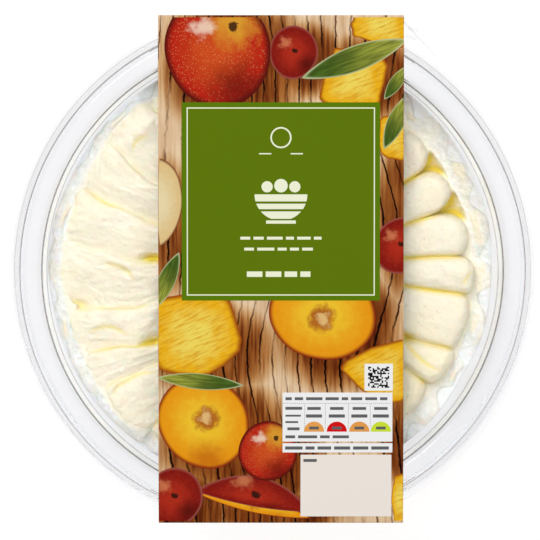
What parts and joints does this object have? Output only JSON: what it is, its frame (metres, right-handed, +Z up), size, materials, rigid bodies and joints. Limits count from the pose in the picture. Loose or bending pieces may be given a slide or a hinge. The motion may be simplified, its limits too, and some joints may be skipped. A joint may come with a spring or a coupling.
{
  "type": "trifle in a lidded bowl with a card band",
  "caption": "Round clear lidded bowl of layered trifle: fruit in jelly, custard and whipped cream laid in radial strokes, closed by a printed card band.",
  "frame": {"origin": "on the surface the pack rests on, at the underside of the card band, under the centre of the round bowl", "axes": "+Z up out of the lid, +X across the card band, +Y along the card band"},
  "size_m": [0.166, 0.158, 0.0658],
  "materials": {
    "printed_card": "printed, satin varnish",
    "clear_bowl_plastic": "clear thermoformed sheet, glossy",
    "clear_lid_plastic": "clear thermoformed sheet, glossy",
    "fruit_jelly": "wet, glossy jelly with fruit pieces",
    "custard": "smooth, moist",
    "whipped_cream": "soft satin, fine streaks and pits"
  },
  "bodies": {
    "root": {"sleeve": "printed_card", "bowl": "clear_bowl_plastic", "lid": "clear_lid_plastic", "fruit_jelly": "fruit_jelly", "custard": "custard", "cream": "whipped_cream"}
  },
  "joints": []
}
